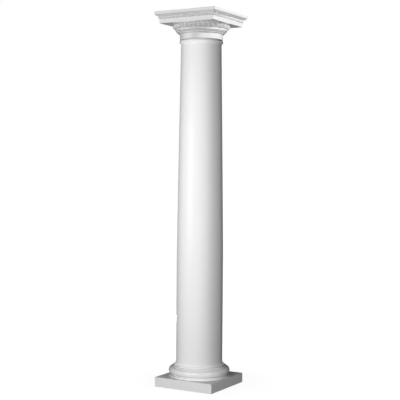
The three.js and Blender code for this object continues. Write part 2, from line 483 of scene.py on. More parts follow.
class SquareRow(RowMaker):
    """Repeats a carved cell along the four mitred sides of a square.

    The cell lies in flat coordinates: X across one cell, Y half of the square's side, Z up.
    """

    def __init__(self) -> None:
        """Build the tree."""
        super().__init__("carved_square")
        tree = self.tree
        tree.sockets({"Copies": "Int"})
        given = tree.inputs
        index = tree.node("GeometryNodeInputIndex").outputs[0]
        middle = tree.math("MULTIPLY", tree.math("SUBTRACT", given["Copies"], 1.0), 0.5)
        along = tree.math("SUBTRACT", index, middle)
        spot = tree.node("ShaderNodeCombineXYZ", {"X": along}).outputs[0]
        sockets = {"Count": given["Copies"], "Position": spot}
        spots = tree.node("GeometryNodePoints", sockets).outputs[0]
        sockets = {"Points": spots, "Instance": given["Geometry"]}
        strip = tree.node("GeometryNodeInstanceOnPoints", sockets).outputs[0]
        flat = tree.node("GeometryNodeRealizeInstances", {"Geometry": strip}).outputs[0]
        place = tree.node("GeometryNodeInputPosition").outputs[0]
        point = tree.node("ShaderNodeSeparateXYZ", {0: place}).outputs
        share = tree.math("DIVIDE", tree.math("MULTIPLY", point["X"], 2.0), given["Copies"])
        mitred = tree.node(
            "ShaderNodeCombineXYZ",
            {
                "X": tree.math("MULTIPLY", share, point["Y"]),
                "Y": tree.math("MULTIPLY", point["Y"], -1.0),
                "Z": point["Z"],
            },
        ).outputs[0]
        side = tree.node("GeometryNodeSetPosition", {"Geometry": flat, "Position": mitred})
        corners = tree.node("GeometryNodePoints", {"Count": 4}).outputs[0]
        quarter = tree.math("MULTIPLY", index, math.tau / 4)
        turn = tree.node("ShaderNodeCombineXYZ", {"Z": quarter}).outputs[0]
        sockets = {"Points": corners, "Instance": side.outputs[0], "Rotation": turn}
        copies = tree.node("GeometryNodeInstanceOnPoints", sockets)
        self.close(copies.outputs[0])


def piece(
    name: str, node: str, meshes: Sequence[bpy.types.Mesh]
) -> bpy.types.Object:
    """Join meshes to one finished piece that stands for a solid.

    Args:
        name: name of the piece.
        node: name of the solid.
        meshes: its meshes, all of one material.

    Returns:
        The piece, riding on the column's body.
    """
    shape = bmesh.new()
    for mesh in meshes:
        shape.from_mesh(mesh)
    for face in shape.faces:
        face.material_index = 0
    joined = bpy.data.meshes.new(name)
    shape.to_mesh(joined)
    shape.free()
    joined.materials.append(meshes[0].materials[-1])
    made = bpy.data.objects.new(name, joined)
    bpy.context.scene.collection.objects.link(made)
    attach(made, BODY)
    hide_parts(node)
    return made


@dataclass(frozen=True)
class PaintFinish:
    """A coat of white paint.

    Attributes:
        name: name of the material.
        colour: colour of clean paint, linear.
        shade: colour of the paint where it is slightly dull.
        roughness: roughness of clean paint.
        shine: how strongly the film mirrors, 0.5 for plain gloss paint.
        dullness: how much rougher it gets where it is dull.
        mottle: how much of the dull colour shows at most.
        mottle_scale: how many patches fit in a metre.
        peel_scale: how many ripples of the film fit in a metre.
        peel_depth: height of the ripples.
        grain_depth: height of the grain that runs level along the faces.
    """

    name: str
    colour: tuple[float, float, float]
    shade: tuple[float, float, float]
    roughness: float
    shine: float
    dullness: float
    mottle: float
    mottle_scale: float
    peel_scale: float
    peel_depth: float
    grain_depth: float


class PaintShop:
    """Makes the paint materials from shared groups for tone and film."""

    def __init__(self) -> None:
        """Build the shared groups."""
        self._tone = self._tone_group()
        self._film = self._film_group()

    @staticmethod
    def _tone_group() -> bpy.types.NodeTree:
        """Build the group that varies colour and roughness over a painted face.

        Returns:
            The group.
        """
        tree = Tree("paint_tone", "ShaderNodeTree")
        tree.sockets({"Place": "Vector", "Clean": "Color", "Dull": "Color"})
        tree.sockets(dict.fromkeys(("Mottle", "Scale", "Roughness", "Dullness"), "Float"))
        tree.sockets({"Color": "Color", "Roughness": "Float"}, into=False)
        given = tree.inputs
        sockets = {"Vector": given["Place"], "Scale": given["Scale"], "Detail": 4.0}
        noise = tree.node("ShaderNodeTexNoise", sockets).outputs[0]
        clean_below, dull_above = MOTTLE_RANGE
        sockets = {"Value": noise, "From Min": clean_below, "From Max": dull_above}
        patches = tree.node("ShaderNodeMapRange", sockets).outputs[0]
        share = tree.math("MULTIPLY", patches, given["Mottle"])
        mixed = tree.node(
            "ShaderNodeMix",
            {"Factor": share, 6: given["Clean"], 7: given["Dull"]},
            data_type="RGBA",
        )
        rough = tree.math("MULTIPLY_ADD", patches, given["Dullness"], given["Roughness"])
        tree.feed(tree.outputs["Color"], mixed.outputs[2])
        tree.feed(tree.outputs["Roughness"], rough)
        return tree.group

    @staticmethod
    def _film_group() -> bpy.types.NodeTree:
        """Build the group that gives the height of the paint film.

        Returns:
            The group.
        """
        tree = Tree("paint_film", "ShaderNodeTree")
        tree.sockets({"Place": "Vector"})
        tree.sockets(dict.fromkeys(("Peel Scale", "Peel Depth", "Grain Depth"), "Float"))
        tree.sockets({"Height": "Float"}, into=False)
        given = tree.inputs
        sockets = {"Vector": given["Place"], "Scale": given["Peel Scale"], "Detail": 2.0}
        peel = tree.node("ShaderNodeTexNoise", sockets).outputs[0]
        sockets = {"Vector": given["Place"], "Scale": GRAIN_STRETCH}
        squeezed = tree.node("ShaderNodeMapping", sockets)
        sockets = {"Vector": squeezed.outputs[0], "Scale": GRAIN_SCALE, "Detail": 5.0}
        grain = tree.node("ShaderNodeTexNoise", sockets).outputs[0]
        height = tree.math("MULTIPLY", peel, given["Peel Depth"])
        height = tree.math("MULTIPLY_ADD", grain, given["Grain Depth"], height)
        tree.feed(tree.outputs["Height"], height)
        return tree.group

    def mix(self, finish: PaintFinish) -> bpy.types.Material:
        """Make a material from a finish.

        Args:
            finish: the coat of paint.

        Returns:
            The material.
        """
        material = bpy.data.materials.new(finish.name)
        material.use_nodes = True
        nodes = Nodes(material.node_tree)
        place = nodes.node("ShaderNodeTexCoord").outputs["Object"]
        toning = {
            "Place": place,
            "Clean": (*finish.colour, 1.0),
            "Dull": (*finish.shade, 1.0),
            "Mottle": finish.mottle,
            "Scale": finish.mottle_scale,
            "Roughness": finish.roughness,
            "Dullness": finish.dullness,
        }
        tone = nodes.node("ShaderNodeGroup", toning, node_tree=self._tone)
        filming = {
            "Place": place,
            "Peel Scale": finish.peel_scale,
            "Peel Depth": finish.peel_depth,
            "Grain Depth": finish.grain_depth,
        }
        film = nodes.node("ShaderNodeGroup", filming, node_tree=self._film)
        bump = nodes.node("ShaderNodeBump", {"Distance": 1.0, "Height": film.outputs["Height"]})
        shader = material.node_tree.nodes["Principled BSDF"].inputs
        nodes.feed(shader["Specular IOR Level"], finish.shine)
        nodes.feed(shader["Base Color"], tone.outputs["Color"])
        nodes.feed(shader["Roughness"], tone.outputs["Roughness"])
        nodes.feed(shader["Normal"], bump.outputs["Normal"])
        return material


@dataclass
class Workshop:
    """The tools that the pieces are made with.

    Attributes:
        turner: turns outlines.
        rings: lays carved cells round the axis.
        squares: lays carved cells along a square.
        paints: material of each finish.
    """

    turner: Turner
    rings: RingRow
    squares: SquareRow
    paints: dict[Finish, bpy.types.Material]


@dataclass
class Plinth:
    """The square slab at the floor, with a round bore.

    Attributes:
        bore_radius: radius of the bore.
        edge_ease: rounding of the long edges.
        segments: steps round the axis, a multiple of eight.
    """

    bore_radius: float = 122.4 * MM
    edge_ease: float = 2.0 * MM
    segments: int = 64

    def build(self, shop: Workshop) -> bpy.types.Object:
        """Build and dress the plinth.

        Args:
            shop: the tools.

        Returns:
            The piece.
        """
        low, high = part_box("plinth")
        half = high.x
        outline = Outline()
        outline.round(self.bore_radius, low.z, self.edge_ease)
        outline.square(half, low.z, self.edge_ease)
        outline.square(half, high.z, self.edge_ease)
        outline.round(self.bore_radius, high.z, self.edge_ease)
        paint = shop.paints[Finish.PLINTH]
        mesh = shop.turner.turn(outline, self.segments, paint)
        return piece("square_plinth", "plinth", [mesh])


@dataclass
class BaseMoulding:
    """The round base: a flat lip, a groove, a torus and a fillet.

    Attributes:
        lip_radius: radius of the lip.
        lip_height: height of the lip.
        groove_radius: radius of the groove between lip and torus.
        groove_height: height of the groove.
        shoulder: radius at which the torus starts and ends.
        undercut: angle at which the torus starts, in degrees.
        fillet_radius: radius of the fillet on top.
        fillet_height: height of the fillet.
        bore_radius: radius of the bore.
        ease: rounding of the fillet's and the lip's edges.
        torus_steps: steps up the torus.
        segments: steps round the axis.
    """

    lip_radius: float = 194.0 * MM
    lip_height: float = 8.5 * MM
    groove_radius: float = 176.0 * MM
    groove_height: float = 5.5 * MM
    shoulder: float = 177.0 * MM
    undercut: float = -70.0
    fillet_radius: float = 178.0 * MM
    fillet_height: float = 6.0 * MM
    bore_radius: float = 122.4 * MM
    ease: float = 3.0 * MM
    torus_steps: int = 28
    segments: int = 192

    def build(self, shop: Workshop) -> bpy.types.Object:
        """Build and dress the base moulding.

        Args:
            shop: the tools.

        Returns:
            The piece.
        """
        low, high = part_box("base_moulding")
        groove_foot = low.z + self.lip_height
        torus_foot = groove_foot + self.groove_height
        fillet_foot = high.z - self.fillet_height
        rise = (fillet_foot - torus_foot) / 2
        centre = (self.shoulder, torus_foot + rise)
        reach = high.x - self.shoulder
        outline = Outline()
        outline.round(self.lip_radius, low.z, self.ease / 2)
        outline.round(self.lip_radius, groove_foot, self.ease)
        outline.round(self.groove_radius, groove_foot)
        outline.round(self.groove_radius, torus_foot)
        outline.arc(centre, reach, rise, (self.undercut, 90.0), self.torus_steps)
        outline.round(self.fillet_radius, fillet_foot, self.ease / 2)
        outline.round(self.fillet_radius, high.z, self.ease)
        outline.round(self.bore_radius, high.z)
        outline.round(self.bore_radius, low.z)
        paint = shop.paints[Finish.MOULDING]
        mesh = shop.turner.turn(outline, self.segments, paint)
        return piece("torus_base", "base_moulding", [mesh])


@dataclass
class Shaft:
    """The hollow tapered shaft in two half shells.

    Attributes:
        foot_radius: radius of the plain shaft at its foot.
        neck_radius: radius of the plain shaft at its top.
        wall: thickness of the shell.
        straight_height: height above the foot at which the taper starts.
        entasis: power of the taper, so that it starts softly.
        cincture_height: height of the fillet at the foot.
        foot_sweep: reach and height of the hollow above the cincture.
        astragal_radius: radius of the ring at the top.
        astragal_height: height of the ring at the top.
        fillet_radius: radius of the fillet under the astragal.
        fillet_height: height of the fillet under the astragal.
        neck_sweep: reach and height of the hollow under the fillet.
        neck_start: angle at which that hollow leaves the taper, in degrees.
        astragal_undercut: angle at which the ring at the top starts, in degrees.
        ease: rounding of the fillets' edges.
        joint: gap between the two shells.
        taper_steps: steps up the taper.
        sweep_steps: steps up the hollow at the foot.
        neck_steps: steps up the hollow at the neck.
        astragal_steps: steps up the ring at the top.
        segments: steps round half of the axis.
    """

    foot_radius: float = 152.4 * MM
    neck_radius: float = 132.5 * MM
    wall: float = 30.0 * MM
    straight_height: float = 730.0 * MM
    entasis: float = 1.1
    cincture_height: float = 12.0 * MM
    foot_sweep: tuple[float, float] = (8.0 * MM, 15.0 * MM)
    astragal_radius: float = 143.5 * MM
    astragal_height: float = 14.0 * MM
    fillet_radius: float = 138.5 * MM
    fillet_height: float = 4.0 * MM
    neck_sweep: tuple[float, float] = (5.0 * MM, 11.0 * MM)
    neck_start: float = 174.0
    astragal_undercut: float = -75.0
    ease: float = 1.6 * MM
    joint: float = 0.3 * MM
    taper_steps: int = 32
    sweep_steps: int = 12
    neck_steps: int = 10
    astragal_steps: int = 20
    segments: int = 96

    def outline(self, foot: float, top: float, cincture_radius: float) -> Outline:
        """Draw the section of the shell's wall.

        Args:
            foot: height of the shaft's foot.
            top: height of its top.
            cincture_radius: radius of the fillet at its foot.

        Returns:
            The outline.
        """
        sweep_foot = foot + self.cincture_height
        sweep_top = sweep_foot + self.foot_sweep[1]
        astragal_foot = top - self.astragal_height
        fillet_foot = astragal_foot - self.fillet_height
        taper_top = fillet_foot - self.neck_sweep[1]
        taper_foot = foot + self.straight_height
        outline = Outline()
        outline.round(cincture_radius, foot, self.ease / 2)
        outline.round(cincture_radius, sweep_foot, self.ease)
        centre = (self.foot_radius + self.foot_sweep[0], sweep_top)
        outline.arc(centre, *self.foot_sweep, (270.0, 180.0), self.sweep_steps)
        for step in range(self.taper_steps + 1):
            share = step / self.taper_steps
            lost = (self.foot_radius - self.neck_radius) * share**self.entasis
            height = taper_foot + (taper_top - taper_foot) * share
            outline.round(self.foot_radius - lost, height)
        centre = (self.neck_radius + self.neck_sweep[0], taper_top)
        outline.arc(centre, *self.neck_sweep, (self.neck_start, 90.0), self.neck_steps)
        outline.round(self.fillet_radius, fillet_foot, self.ease / 2)
        outline.round(self.fillet_radius, astragal_foot)
        reach = self.astragal_radius - self.fillet_radius
        rise = self.astragal_height / 2
        centre = (self.fillet_radius, astragal_foot + rise)
        sweep = (self.astragal_undercut, 90.0)
        outline.arc(centre, reach, rise, sweep, self.astragal_steps)
        outline.round(self.neck_radius - self.wall, top)
        outline.round(self.neck_radius - self.wall, taper_top)
        outline.round(self.foot_radius - self.wall, taper_foot)
        outline.round(self.foot_radius - self.wall, foot)
        return outline

    def build(self, shop: Workshop, shell: Shell) -> bpy.types.Object:
        """Build and dress one half shell.

        Args:
            shop: the tools.
            shell: which of the two.

        Returns:
            The piece.
        """
        low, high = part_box(shell.node)
        outline = self.outline(low.z, high.z, high.x)
        slack = self.joint / 2 / self.foot_radius
        start = shell.start + slack
        sweep = math.pi - 2 * slack
        paint = shop.paints[Finish.SHAFT]
        mesh = shop.turner.turn(outline, self.segments, paint, start, sweep)
        return piece(f"{shell.node}_shell", shell.node, [mesh])


class CarvedRow(ABC):
    """A carved row of the capital, made of equal cells side by side.

    Attributes:
        count: number of cells round the axis, or along one side of a square.
        columns: steps across one cell.
    """

    count: int
    columns: int

    @property
    def pitch(self) -> float:
        """Angle of one cell about the axis."""
        return math.tau / self.count

    @abstractmethod
    def section(self, share: float, foot: float, top: float) -> Section:
        """Give the row's closed section at a place across a cell.

        Args:
            share: the place, from -0.5 to 0.5.
            foot: height of the row's foot.
            top: height of its top.

        Returns:
            Points of radius and height, up outside and down inside.
        """

    def spot(self, share: float, radius: float, height: float) -> tuple[float, float, float]:
        """Give the place of a section's point in the cell.

        Args:
            share: place of the section across the cell, from -0.5 to 0.5.
            radius: the point's radius.
            height: its height.

        Returns:
            The coordinates.
        """
        angle = share * self.pitch
        return radius * math.cos(angle), radius * math.sin(angle), height

    def mesh(
        self, maker: RowMaker, paint: bpy.types.Material, foot: float, top: float
    ) -> bpy.types.Mesh:
        """Carve the row.

        Args:
            maker: lays the cells.
            paint: material of the row.
            foot: height of the row's foot.
            top: height of its top.

        Returns:
            The closed row.
        """
        points: list[tuple[float, float, float]] = []
        faces: list[tuple[int, int, int, int]] = []
        for column in range(self.columns + 1):
            share = column / self.columns - 0.5
            section = self.section(share, foot, top)
            rows = len(section)
            points += [self.spot(share, radius, height) for radius, height in section]
            if column == 0:
                continue
            there = column * rows
            here = there - rows
            for row in range(rows):
                above = (row + 1) % rows
                faces.append((here + row, there + row, there + above, here + above))
        cell = bpy.data.meshes.new("carved_cell")
        cell.from_pydata(points, [], faces)
        return maker.lay(cell, self.count, paint)


@dataclass
class EggRow(CarvedRow):
    """The carved row of eggs in their shells, with a dart between two.

    Attributes:
        count: number of eggs.
        foot_radius: radius of the ground at the row's foot.
        top_radius: radius of the ground at its top.
        egg_half: half of the egg's width.
        egg_depth: how far the egg stands out.
        egg_centre: share of the slope at which the egg is widest.
        egg_up: how far the egg reaches above that place.
        egg_down: how far it reaches below.
        shell_half: half of the width between the crests of the shell.
        shell_down: how far the shell's crest reaches below the egg's centre.
        shell_crest: half of the thickness of the shell.
        shell_depth: how far the shell stands out.
        dart_half: half of the width of the dart's head.
        dart_stem: half of the width of its stem.
        dart_head: height of its head above the point.
        dart_depth: how far the dart stands out.
        back: how far the row reaches behind its ground.
        hold: how far the row reaches into its neighbours.
        columns: steps across one egg.
        rows: steps up the slope.
    """

    count: int = 36
    foot_radius: float = 163.0 * MM
    top_radius: float = 184.5 * MM
    egg_half: float = 8.27 * MM
    egg_depth: float = 10.5 * MM
    egg_centre: float = 0.6
    egg_up: float = 21.0 * MM
    egg_down: float = 18.5 * MM
    shell_half: float = 11.73 * MM
    shell_down: float = 21.5 * MM
    shell_crest: float = 1.4 * MM
    shell_depth: float = 4.5 * MM
    dart_half: float = 2.8 * MM
    dart_stem: float = 1.33 * MM
    dart_head: float = 9.0 * MM
    dart_depth: float = 3.5 * MM
    back: float = 12.0 * MM
    hold: float = 0.6 * MM
    columns: int = 40
    rows: int = 32

    def relief(self, across: float, up: float, slope: float, gap: float) -> float:
        """Give the height of the carving above its ground.

        Args:
            across: distance from the egg's middle line.
            up: distance up the slope.
            slope: length of the slope.
            gap: distance from the middle line of the nearest dart.

        Returns:
            The height.
        """
        above = up - slope * self.egg_centre
        reach = self.egg_up if above > 0 else self.egg_down
        inside = 1.0 - (across / self.egg_half) ** 2 - (above / reach) ** 2
        egg = self.egg_depth * math.sqrt(max(inside, 0.0))
        drop = 0.0 if above > 0 else above / self.shell_down
        ring = math.hypot(across / self.shell_half, drop)
        off = abs(ring - 1.0) * self.shell_half / self.shell_crest
        shell = self.shell_depth * math.sqrt(max(1.0 - off**2, 0.0))
        width = self.dart_stem
        if up < self.dart_head:
            width = self.dart_half * up / self.dart_head
        dart = self.dart_depth * max(1.0 - gap / max(width, self.hold), 0.0)
        return max(egg, shell, dart)

    def section(self, share: float, foot: float, top: float) -> Section:
        """Give the row's section at a place across an egg.

        Args:
            share: the place, from -0.5 to 0.5.
            foot: height of the row's foot.
            top: height of its top.

        Returns:
            Points of radius and height, up outside and down inside.
        """
        run = self.top_radius - self.foot_radius
        slope = math.hypot(run, top - foot)
        outwards = ((top - foot) / slope, -run / slope)
        points = [(self.foot_radius, foot - self.hold)]
        for row in range(self.rows + 1):
            part = row / self.rows
            radius = self.foot_radius + run * part
            across = share * self.pitch * radius
            gap = (0.5 - abs(share)) * self.pitch * radius
            height = self.relief(across, slope * part, slope, gap)
            level = foot + (top - foot) * part + outwards[1] * height
            points.append((radius + outwards[0] * height, max(level, foot - self.hold)))
        points.append((self.top_radius, top + self.hold))
        points.append((self.top_radius - self.back, top + self.hold))
        points.append((self.foot_radius - self.back, foot - self.hold))
        return points


@dataclass
class BeadRow(CarvedRow):
    """The carved row of round beads with a pair of reels between two.

    Attributes:
        count: number of beads.
        axis_radius: radius of the line on which the beads are strung.
        bead_half: half of a bead's length.
        bead_radius: radius of a bead.
        reel_place: distance of a reel from the bead's middle.
        reel_half: half of a reel's thickness.
        reel_radius: radius of a reel.
        cord_radius: radius of the string between them.
        columns: steps across one bead and its reels.
        rows: steps round the string.
    """

    count: int = 64
    axis_radius: float = 157.5 * MM
    bead_half: float = 4.6 * MM
    bead_radius: float = 4.6 * MM
    reel_place: float = 6.2 * MM
    reel_half: float = 0.9 * MM
    reel_radius: float = 3.8 * MM
    cord_radius: float = 1.6 * MM
    columns: int = 20
    rows: int = 10

    def thickness(self, along: float) -> float:
        """Give the radius of the string of beads at a place along it.

        Args:
            along: distance from the middle of the nearest bead.

        Returns:
            The radius.
        """
        inside = max(1.0 - (along / self.bead_half) ** 2, 0.0)
        bead = self.bead_radius * math.sqrt(inside)
        off = (abs(along) - self.reel_place) / self.reel_half
        reel = self.reel_radius * math.sqrt(max(1.0 - off**4, 0.0))
        return max(bead, reel, self.cord_radius)

    def section(self, share: float, foot: float, top: float) -> Section:
        """Give the row's section at a place across a bead.

        Args:
            share: the place, from -0.5 to 0.5.
            foot: height of the row's foot.
            top: height of its top.

        Returns:
            Points of radius and height, up outside and down inside.
        """
        middle = (foot + top) / 2
        thick = self.thickness(share * self.pitch * self.axis_radius)
        points = []
        for row in range(self.rows):
            angle = math.tau * row / self.rows - math.pi / 2
            radius = self.axis_radius + thick * math.cos(angle)
            points.append((radius, middle + thick * math.sin(angle)))
        return points


@dataclass
class LeafRow(CarvedRow):
    """The carved row of small leaves along the four sides of the abacus.

    Its cell lies in flat coordinates, with X running across one leaf from -0.5 to 0.5.

    Attributes:
        count: number of leaves on one side.
        foot_half: half of the side at the row's foot, at the ground of the carving.
        top_half: half of the side at its top, at the ground of the carving.
        leaf_depth: how far a leaf stands out.
        leaf_half: half of a leaf's width, as a share of one leaf's pitch.
        hollow: how far the leaf dips beside its rib.
        hollow_place: where that dip is deepest, as a share of the leaf's half width.
        hollow_width: how wide the dip is, as such a share.
        tip: share of the height at which the leaf reaches its full width.
        swell: power by which the leaf widens towards that place, below 1 for a full curve.
        dart_half: half of the width of the dart between two leaves, as a share.
        dart_depth: how far that dart stands out.
        back: how far the row reaches behind its ground.
        hold: how far the row reaches into its neighbours.
        columns: steps across one leaf.
        rows: steps up the row.
    """

    count: int = 20
    foot_half: float = 197.5 * MM
    top_half: float = 203.0 * MM
    leaf_depth: float = 7.5 * MM
    leaf_half: float = 0.38
    hollow: float = 2.4 * MM
    hollow_place: float = 0.45
    hollow_width: float = 0.22
    tip: float = 0.62
    swell: float = 0.6
    dart_half: float = 0.07
    dart_depth: float = 4.0 * MM
    back: float = 8.0 * MM
    hold: float = 0.5 * MM
    columns: int = 14
    rows: int = 12

    def relief(self, share: float, part: float) -> float:
        """Give the height of the carving above its ground.

        Args:
            share: place across the leaf, from -0.5 to 0.5.
            part: place up the row, from 0 to 1.

        Returns:
            The height.
        """
        grown = math.sin(math.pi / 2 * min(part / self.tip, 1.0))
        off = abs(share) / max(self.leaf_half * grown**self.swell, NARROWEST_LEAF)
        leaf = self.leaf_depth * math.sqrt(max(1.0 - off**4, 0.0))
        dip = self.hollow * math.exp(-(((off - self.hollow_place) / self.hollow_width) ** 2))
        gap = (0.5 - abs(share)) / self.dart_half
        dart = self.dart_depth * max(1.0 - gap, 0.0)
        return max(leaf - dip if leaf > 0 else 0.0, dart)

    def section(self, share: float, foot: float, top: float) -> Section:
        """Give the row's section at a place across a leaf.

        Args:
            share: the place, from -0.5 to 0.5.
            foot: height of the row's foot.
            top: height of its top.

        Returns:
            Points of half side and height, up outside and down inside.
        """
        points = []
        for row in range(self.rows + 1):
            part = row / self.rows
            ground = self.foot_half + (self.top_half - self.foot_half) * part
            height = foot + (top - foot) * part
            points.append((ground + self.relief(share, part), height))
        points.append((self.top_half, top + self.hold))
        points.append((self.top_half - self.back, top + self.hold))
        points.append((self.foot_half - self.back, foot))
        return points

    def spot(self, share: float, radius: float, height: float) -> tuple[float, float, float]:
        """Give the place of a section's point in the flat cell.

        Args:
            share: place of the section across the cell, from -0.5 to 0.5.
            radius: the point's half side.
            height: its height.

        Returns:
            The coordinates.
        """
        return share, radius, height


@dataclass
class Capital:
    """The capital, moulded as one: round below and square above.

    Attributes:
        recess: radius and height of the recess at the foot.
        necking: radius and height of the plain necking.
        cove: radius and height of the hollow above it.
        lower_fillet: radius and height of the fillet under the beads.
        bead_channel: radius and height of the channel of the beads.
        upper_fillet: radius and height of the fillet above the beads.
        echinus_height: height of the row of eggs with its rim.
        rim: radius and height of the rim above the eggs.
        ground_inset: how far the core lies behind the ground of the eggs.
        fascia: half side and height of the plain fascia, which is as deep behind the leaves.
        leaf_height: height of the row of leaves.
        quirk_height: height of the groove above the leaves.
        cyma: half side at the foot, half side at the top, and height of the curved moulding.
        fillet_height: height of the top fillet.
        bore_radius: radius of the bore.
        ease: rounding of the edges.
        cove_steps: steps up the cove.
        cyma_steps: steps up the curved moulding.
        segments: steps round the axis, a multiple of eight.
        eggs: the row of eggs.
        beads: the row of beads.
        leaves: the row of leaves.
    """

    eggs: EggRow
    beads: BeadRow
    leaves: LeafRow
    recess: tuple[float, float] = (128.0 * MM, 6.0 * MM)
    necking: tuple[float, float] = (140.5 * MM, 29.0 * MM)
    cove: tuple[float, float] = (148.5 * MM, 11.0 * MM)
    lower_fillet: tuple[float, float] = (151.5 * MM, 6.5 * MM)
    bead_channel: tuple[float, float] = (156.0 * MM, 9.0 * MM)
    upper_fillet: tuple[float, float] = (168.0 * MM, 10.0 * MM)
    echinus_height: float = 34.0 * MM
    rim: tuple[float, float] = (196.5 * MM, 4.0 * MM)
    ground_inset: float = 3.0 * MM
    fascia: tuple[float, float] = (199.0 * MM, 27.0 * MM)
    leaf_height: float = 16.0 * MM
    quirk_height: float = 5.0 * MM
    cyma: tuple[float, float, float] = (213.5 * MM, 222.0 * MM, 9.5 * MM)
    fillet_height: float = 18.0 * MM
    bore_radius: float = 102.5 * MM
    ease: float = 1.2 * MM
    cove_steps: int = 8
    cyma_steps: int = 12
    segments: int = 144

    def build(self, shop: Workshop) -> bpy.types.Object:
        """Build and dress the capital.

        Args:
            shop: the tools.

        Returns:
            The piece.
        """
        low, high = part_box("capital")
        necking_foot = low.z + self.recess[1]
        cove_foot = necking_foot + self.necking[1]
        lower_foot = cove_foot + self.cove[1]
        bead_foot = lower_foot + self.lower_fillet[1]
        upper_foot = bead_foot + self.bead_channel[1]
        egg_foot = upper_foot + self.upper_fillet[1]
        fascia_foot = egg_foot + self.echinus_height
        egg_top = fascia_foot - self.rim[1]
        leaf_foot = fascia_foot + self.fascia[1]
        quirk_foot = leaf_foot + self.leaf_height
        cyma_foot = quirk_foot + self.quirk_height
        fillet_foot = high.z - self.fillet_height
        ground = self.ground_inset
        outline = Outline()
        outline.round(self.recess[0], low.z)
        outline.round(self.recess[0], necking_foot)
        outline.round(self.necking[0], necking_foot, self.ease)
        reach = self.cove[0] - self.necking[0]
        centre = (self.cove[0], cove_foot)
        outline.arc(centre, reach, self.cove[1], (180.0, 90.0), self.cove_steps)
        outline.round(self.lower_fillet[0], lower_foot, self.ease / 2)
        outline.round(self.lower_fillet[0], bead_foot, self.ease)
        outline.round(self.bead_channel[0], bead_foot)
        outline.round(self.bead_channel[0], upper_foot)
        outline.round(self.upper_fillet[0], upper_foot, self.ease)
        outline.round(self.upper_fillet[0], egg_foot, self.ease)
        outline.round(self.eggs.foot_radius - ground, egg_foot)
        outline.round(self.eggs.top_radius - ground, egg_top)
        outline.round(self.rim[0], egg_top, self.ease)
        outline.round(self.rim[0], fascia_foot)
        outline.square(self.fascia[0], fascia_foot, self.ease)
        outline.square(self.fascia[0], cyma_foot)
        self._cyma(outline, cyma_foot)
        outline.square(high.x, fillet_foot, self.ease)
        outline.square(high.x, high.z, self.ease)
        outline.round(self.bore_radius, high.z, self.ease)
        outline.round(self.bore_radius, low.z)
        paint = shop.paints[Finish.MOULDING]
        meshes = [
            shop.turner.turn(outline, self.segments, paint),
            self.eggs.mesh(shop.rings, paint, egg_foot, egg_top),
            self.beads.mesh(shop.rings, paint, bead_foot, upper_foot),
            self.leaves.mesh(shop.squares, paint, leaf_foot, quirk_foot),
        ]
        return piece("carved_capital", "capital", meshes)

    def _cyma(self, outline: Outline, foot: float) -> None:
        """Add the double curve under the top fillet.

        Args:
            outline: the outline so far.
            foot: height of the curve's foot.
        """
        narrow, wide, height = self.cyma
        for step in range(self.cyma_steps + 1):
            share = step / self.cyma_steps
            ease = share - math.sin(math.tau * share) / math.tau
            outline.square(narrow + (wide - narrow) * ease, foot + height * share)


@dataclass(frozen=True)
class Softbox:
    """A soft studio light that looks at the column.

    Attributes:
        name: name of the light.
        azimuth: where it stands, in degrees from -Y towards +X.
        elevation: how high it stands above the level of its aim, in degrees.
        aim: height on the axis at which it looks.
        width: its width.
        tall: its height.
        power: its power in watts.
        only: names of the pieces that it lights.
        distance: distance from its aim.
        gloss: whether the paint mirrors it.
    """

    name: str
    azimuth: float
    elevation: float
    aim: float
    width: float
    tall: float
    power: float
    only: tuple[str, ...]
    distance: float = 3.0
    gloss: bool = True

    def light(self) -> None:
        """Hang the light."""
        lamp = bpy.data.lights.new(self.name, "AREA")
        lamp.shape = "RECTANGLE"
        lamp.size = self.width
        lamp.size_y = self.tall
        lamp.energy = self.power
        made = bpy.data.objects.new(self.name, lamp)
        angle = math.radians(self.azimuth)
        lift = math.radians(self.elevation)
        level = math.cos(lift)
        away = Vector((math.sin(angle) * level, -math.cos(angle) * level, math.sin(lift)))
        made.location = Vector((0.0, 0.0, self.aim)) + away * self.distance
        made.rotation_euler = away.to_track_quat("Z", "Y").to_euler()
        made.visible_glossy = self.gloss
        bpy.context.scene.collection.objects.link(made)
        lit = bpy.data.collections.new(f"{self.name}_lit")
        for name in self.only:
            lit.objects.link(bpy.data.objects[name])
        made.light_linking.receiver_collection = lit


